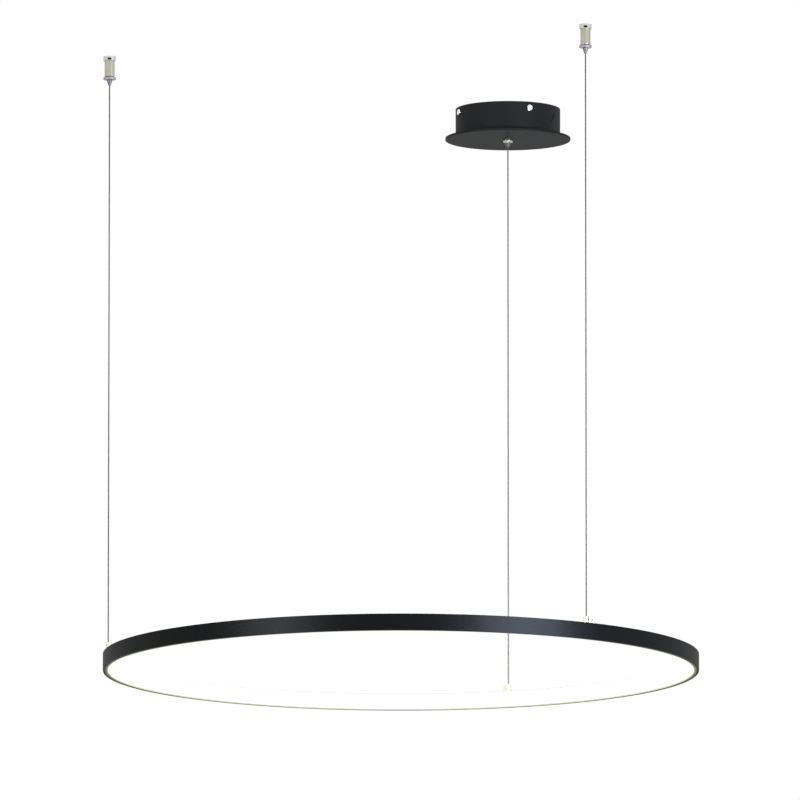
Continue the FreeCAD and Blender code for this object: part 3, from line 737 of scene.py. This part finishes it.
class CHANDELIER_OT_canopy(bpy.types.Operator):
    """Drum, disc, side screws and what the canopy hides"""
    bl_idname = "chandelier.canopy"
    bl_label = "Canopy"

    def execute(self, context):
        looks = context.scene.chandelier_canopy
        coat = satin_coat("canopy_coat", looks.coat, roughness=0.4, gloss=0.25)
        softened("canopy_drum", coat, "ceiling", looks.edge)
        softened("canopy_disc", coat, "ceiling", looks.edge, segments=3)
        self.screws(looks)
        rubber = moulded("black_rubber", RUBBER_BLACK, 0.6)
        self.plug(looks, rubber)
        # Black sheet behind the slot stands in for the shade inside the canopy.
        self.shade_sheet(rubber)
        zinc = plated("zinc_steel", ZINC, 0.32, grain=(300, 300, 300))
        shell = moulded("driver_shell", DRIVER_WHITE)
        dress("ceiling_bracket", zinc)
        dress("canopy_nut", zinc)
        for node in ("driver_case", "driver_lid", "terminal_block"):
            dress(node, shell)
        return {"FINISHED"}

    def screws(self, looks):
        """Side screws with rounded heads and a socket, one on each face of the drum."""
        low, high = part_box("side_screws")
        level = (low[2] + high[2]) / 2
        head = (high[2] - low[2]) / 2
        x, y = self.head_spot()
        first = math.atan2(y, x)
        wall = radius_of("canopy_drum")
        shank, shank_length = 0.0016, 0.002
        top = shank_length + math.hypot(x, y) - wall
        socket, floor = looks.recess_radius, top - looks.recess_depth
        outline = [(AXIS, 0), (shank, 0), (shank, shank_length), (head, shank_length), (head, top),
                   (socket, top), (socket, floor), (AXIS, floor)]
        shapes = []
        for number in range(4):
            shape = spun(outline, steps=32, rounding=0.0005)
            angle = first + number * math.pi / 2
            outward = Vector((math.cos(angle), math.sin(angle), 0))
            spot = outward * (wall - shank_length) + Vector((0, 0, level))
            bmesh.ops.transform(shape, matrix=along(outward, spot), verts=shape.verts)
            shapes.append(shape)
        chrome = plated("bright_chrome", SCREW_CHROME, 0.12, grain=(200, 200, 200), wear=0.95)
        finished("side_screw_heads", joined(shapes), chrome, "ceiling", ("side_screws",))

    def head_spot(self):
        """Middle of the outer face of the screw on the canopy's front, right of the middle."""
        front = [vertex.co for vertex in NODES["side_screws"].data.vertices
                 if vertex.co.y < 0 and abs(vertex.co.y) > abs(vertex.co.x)]
        far = max(math.hypot(spot.x, spot.y) for spot in front)
        skin = 0.0004
        face = [spot for spot in front if math.hypot(spot.x, spot.y) > far - skin]
        return sum(spot.x for spot in face) / len(face), sum(spot.y for spot in face) / len(face)

    def plug(self, looks, finish):
        """Small rubber plug in the drum's wall, just under the end of the leaning slot."""
        radius, brow, crown = 0.0016, 0.0011, 0.0016
        depth, dimple = 0.0012, 0.0013
        outline = [(AXIS, 0), (radius, 0), (radius, depth), (brow, crown), (AXIS, dimple)]
        shape = spun(outline, steps=24)
        turn = math.radians(62.5)
        outward = Vector((math.sin(turn), -math.cos(turn), 0))
        height = foot_of("canopy_drum") + looks.plug_height
        spot = outward * (radius_of("canopy_drum") - depth) + Vector((0, 0, height))
        bmesh.ops.transform(shape, matrix=along(outward, spot), verts=shape.verts)
        finished("drum_plug", shape, finish, "ceiling", ())

    def shade_sheet(self, finish):
        """Curved black sheet that lines the drum's wall behind the slot: a dark sheet put in for the shade
        seen through the slot.
        """
        low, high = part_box("canopy_drum")
        outer = radius_of("canopy_drum") - 0.0014
        inner = outer - 0.0006
        foot, top = low[2] + 0.004, high[2] - 0.006
        start, turn = math.radians(44.0), math.radians(30.0)
        shape = bmesh.new()
        corners = [shape.verts.new((0, -reach, height)) for reach, height in
                   ((inner, foot), (outer, foot), (outer, top), (inner, top))]
        face = shape.faces.new(corners)
        bmesh.ops.rotate(shape, verts=shape.verts, cent=(0, 0, 0),
                         matrix=Matrix.Rotation(start, 3, "Z"))
        bmesh.ops.spin(shape, geom=[face, *face.verts, *face.edges], cent=(0, 0, 0), axis=(0, 0, 1),
                       angle=turn, steps=10)
        bmesh.ops.recalc_face_normals(shape, faces=shape.faces)
        finished("slot_shade_sheet", shape, finish, "ceiling", ())


class CHANDELIER_OT_grips(bpy.types.Operator):
    """Ceiling anchors and the feed cable's grip"""
    bl_idname = "chandelier.grips"
    bl_label = "Cable grips"

    def execute(self, context):
        looks = context.scene.chandelier_hardware
        nickel = plated("satin_nickel", looks.nickel, 0.34)
        chrome = plated("satin_chrome", looks.feed_chrome, 0.36)
        brass = plated("turned_brass", BRASS, 0.25)
        wire = plated("spring_wire", SPRING_STEEL, 0.3, grain=(600, 600, 600))
        for station in ("anchor_1", "anchor_2"):
            # Painted shade: each collar is coloured dark inside its bore.
            bore = (middle(f"{station}_base"), looks.bore, 0.06)
            bore_shaded_nickel = plated(f"{station}_nickel", looks.collar, 0.34, core=bore)
            softened(f"{station}_base", bore_shaded_nickel, "ceiling", looks.edge)
            softened(f"grip_{station}_barrel", nickel, "ceiling", looks.edge)
        softened("grip_feed_barrel", chrome, "ceiling", looks.edge)
        for station in STATIONS:
            # The plunger's cone inside this radius is coloured darker.
            tip = (middle(f"grip_{station}_release"), looks.tip, 0.36)
            coned = plated(f"{station}_chrome", looks.chrome, 0.48, core=tip)
            softened(f"grip_{station}_release", coned, f"release_{station}", looks.edge)
            self.coil(station, wire)
        dress("grip_feed_collet", brass)
        dress("grip_feed_plug", brass)
        return {"FINISHED"}

    def coil(self, station, finish):
        """Spring behind the release plunger, a copy of its CAD node."""
        node, press = f"grip_{station}_spring", f"release_{station}"
        low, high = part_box(node)
        piece = finished(f"{node}_coil", copy_of(node), finish, "ceiling", (node,))
        length = high[2] - low[2]
        (length - travel_of(press)) / length
        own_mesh(piece)


class CHANDELIER_OT_fittings(bpy.types.Operator):
    """Cable fittings on the ring, with their lock screws"""
    bl_idname = "chandelier.fittings"
    bl_label = "Ring fittings"

    def execute(self, context):
        looks = context.scene.chandelier_hardware
        nickel = plated("bright_nickel", looks.bright, 0.3)
        steel = plated("crimp_steel", CRIMP_STEEL, 0.3, grain=(300, 300, 300))
        oxide = plated("black_oxide", BLACK_OXIDE, 0.4, grain=(300, 300, 300))
        for station in STATIONS:
            softened(f"fitting_{station}_body", nickel, "ring", looks.edge)
            dress(f"fitting_{station}_stop", steel)
            dress(f"fitting_{station}_tbolt", steel)
            self.lock_screw(station, looks, oxide)
        return {"FINISHED"}

    def lock_screw(self, station, looks, finish):
        """Set screw that clamps the T-bolt's stud; its end stands a little out of the lug's side."""
        stud = middle(f"fitting_{station}_tbolt")
        cable = middle(f"{station}_cable")
        towards_lug = Vector((stud.x - cable.x, stud.y - cable.y, 0)).normalized()
        outward = Vector((towards_lug.y, -towards_lug.x, 0))
        radius, depth = looks.lock_radius, 0.0012
        socket, floor = radius * 0.6, depth * 0.35
        outline = [(AXIS, 0), (radius, 0), (radius, depth), (socket, depth), (socket, floor),
                   (AXIS, floor)]
        shape = spun(outline, steps=24)
        lug_side, proud, height = 0.0032, 0.0003, 0.0037
        spot = Vector((stud.x, stud.y, foot_of(f"fitting_{station}_body") + height))
        spot += outward * (lug_side + proud - depth)
        bmesh.ops.transform(shape, matrix=along(outward, spot), verts=shape.verts)
        finished(f"fitting_{station}_lock_screw", shape, finish, "ring", ())


# ---------------------------------------------------------------- add-on

GROUPS = {
    "chandelier_ring": RingFinish,
    "chandelier_canopy": CanopyFinish,
    "chandelier_cables": CableFinish,
    "chandelier_hardware": HardwareFinish,
    "chandelier_studio": StudioSetup,
}
STEPS = (CHANDELIER_OT_studio, CHANDELIER_OT_cables, CHANDELIER_OT_ring, CHANDELIER_OT_canopy,
         CHANDELIER_OT_grips, CHANDELIER_OT_fittings)


class CHANDELIER_PT_sidebar(bpy.types.Panel):
    """Steps and sizes of the chandelier"""
    bl_label = "Ring Chandelier"
    bl_idname = "CHANDELIER_PT_sidebar"
    bl_space_type = "VIEW_3D"
    bl_region_type = "UI"
    bl_category = "Ring Chandelier"

    def draw(self, context):
        layout = self.layout
        for step in STEPS:
            layout.operator(step.bl_idname)
        for name, group in GROUPS.items():
            box = layout.box()
            box.label(text=name.removeprefix("chandelier_").capitalize())
            for key in group.__annotations__:
                box.prop(getattr(context.scene, name), key)


CLASSES = (*GROUPS.values(), *STEPS, CHANDELIER_PT_sidebar)


def register():
    for item in CLASSES:
        bpy.utils.register_class(item)
    for name, group in GROUPS.items():
        setattr(bpy.types.Scene, name, bpy.props.PointerProperty(type=group))


def unregister():
    for name in GROUPS:
        delattr(bpy.types.Scene, name)
    for item in reversed(CLASSES):
        bpy.utils.unregister_class(item)


def main():
    register()
    bpy.ops.chandelier.studio()
    bpy.ops.chandelier.cables()
    bpy.ops.chandelier.ring()
    bpy.ops.chandelier.canopy()
    bpy.ops.chandelier.grips()
    bpy.ops.chandelier.fittings()


if __name__ == "__main__":
    main()
